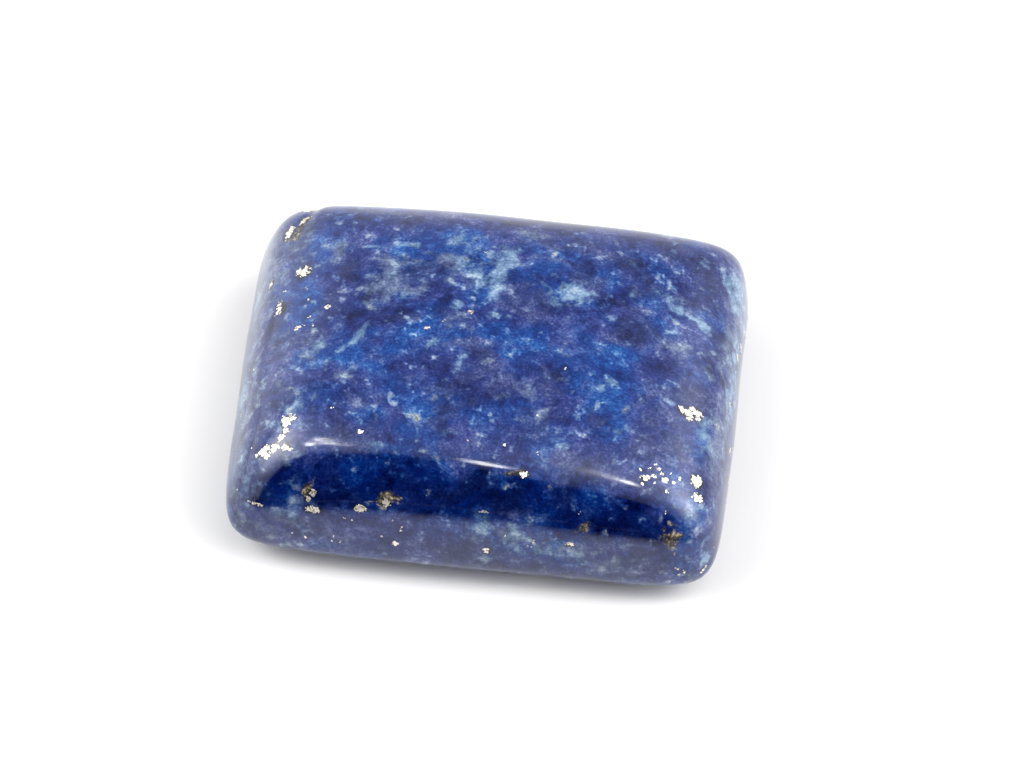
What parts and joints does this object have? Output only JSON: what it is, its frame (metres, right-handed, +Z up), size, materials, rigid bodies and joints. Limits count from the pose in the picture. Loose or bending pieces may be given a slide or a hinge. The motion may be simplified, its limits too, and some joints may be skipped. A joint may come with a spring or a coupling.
{
  "type": "polished lapis lazuli stone",
  "caption": "Pillow-shaped rectangular tablet of polished lapis lazuli with rounded corners, a crowned top and a small flat spot to rest on.",
  "frame": {"origin": "on the resting flat underneath, below the middle of the stone's outline", "axes": "+X along the stone's length, +Y across it away from the bevelled long side, +Z up through its thickness"},
  "size_m": [0.0256, 0.0204, 0.0086],
  "materials": {
    "lapis": "high polish, opaque blue stone mottled with navy and pale calcite, with metallic gold pyrite grains"
  },
  "bodies": {
    "root": {"lapis_stone": "lapis"}
  },
  "joints": []
}
